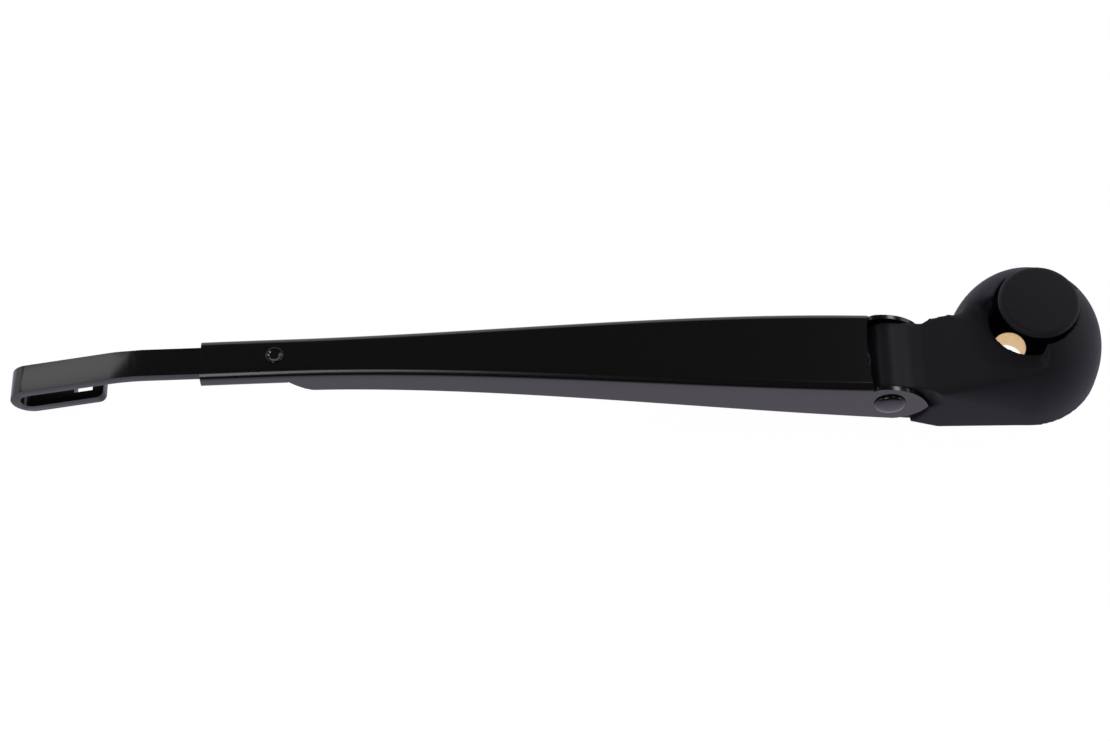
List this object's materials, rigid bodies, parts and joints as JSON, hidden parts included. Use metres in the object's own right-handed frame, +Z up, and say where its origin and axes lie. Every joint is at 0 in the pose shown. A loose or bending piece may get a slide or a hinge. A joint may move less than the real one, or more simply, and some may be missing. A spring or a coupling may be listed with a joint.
{
  "type": "wiper arm",
  "caption": "Black rear wiper arm: domed head with a flip cap over the spindle nut, hinged and sprung folded-steel channel, and a flat strip ending in a J hook for the blade.",
  "frame": {"origin": "spindle axis at the underside of the head, which rests on the base plane", "axes": "+Z up along the spindle, -X along the arm towards the hook, -Y towards the side that the spindle axis stands away from"},
  "size_m": [0.3279, 0.0472, 0.0336],
  "materials": {
    "head_plastic": "fine-grained matte black moulding",
    "black_paint": "smooth gloss black paint on steel",
    "bush_metal": "bare machined bore of a warm copper-coloured metal",
    "bare_steel": "zinc-plated steel wire, pins and link"
  },
  "bodies": {
    "base": {"head": "head_plastic", "spindle_insert": "bush_metal", "cap_pin": "bare_steel", "anchor_pin": "bare_steel"},
    "arm": {"arm_channel": "black_paint", "hook_strip": "black_paint", "strip_rivet": "black_paint", "hinge_pin": "black_paint", "tension_spring": "bare_steel"},
    "link": {"spring_link": "bare_steel"},
    "cap": {"nut_cap": "head_plastic"}
  },
  "joints": [
    {"name": "arm_lift", "type": "hinge", "parent": "base", "child": "arm", "pos_m": [-0.0385, -0.0096, 0.0137], "axis": [0, 1, 0], "range_deg": [0, 65], "stiffness_Nm_per_rad": 0.8, "springref_deg": -68.75, "deforming": ["tension_spring"]},
    {"name": "link_slide", "type": "slide", "parent": "arm", "child": "link", "axis": [0.8833, 0, -0.4689], "range_m": [0, 0.00741]},
    {"name": "cap_flip", "type": "hinge", "parent": "base", "child": "cap", "pos_m": [0.01406, 0.00976, 0.02592], "axis": [-0.7071, 0.7071, 0], "range_deg": [-14, 95]}
  ],
  "couplings": [
    {"joint": "link_slide", "follows": "arm_lift", "m_per_rad": 0.0065325}
  ]
}
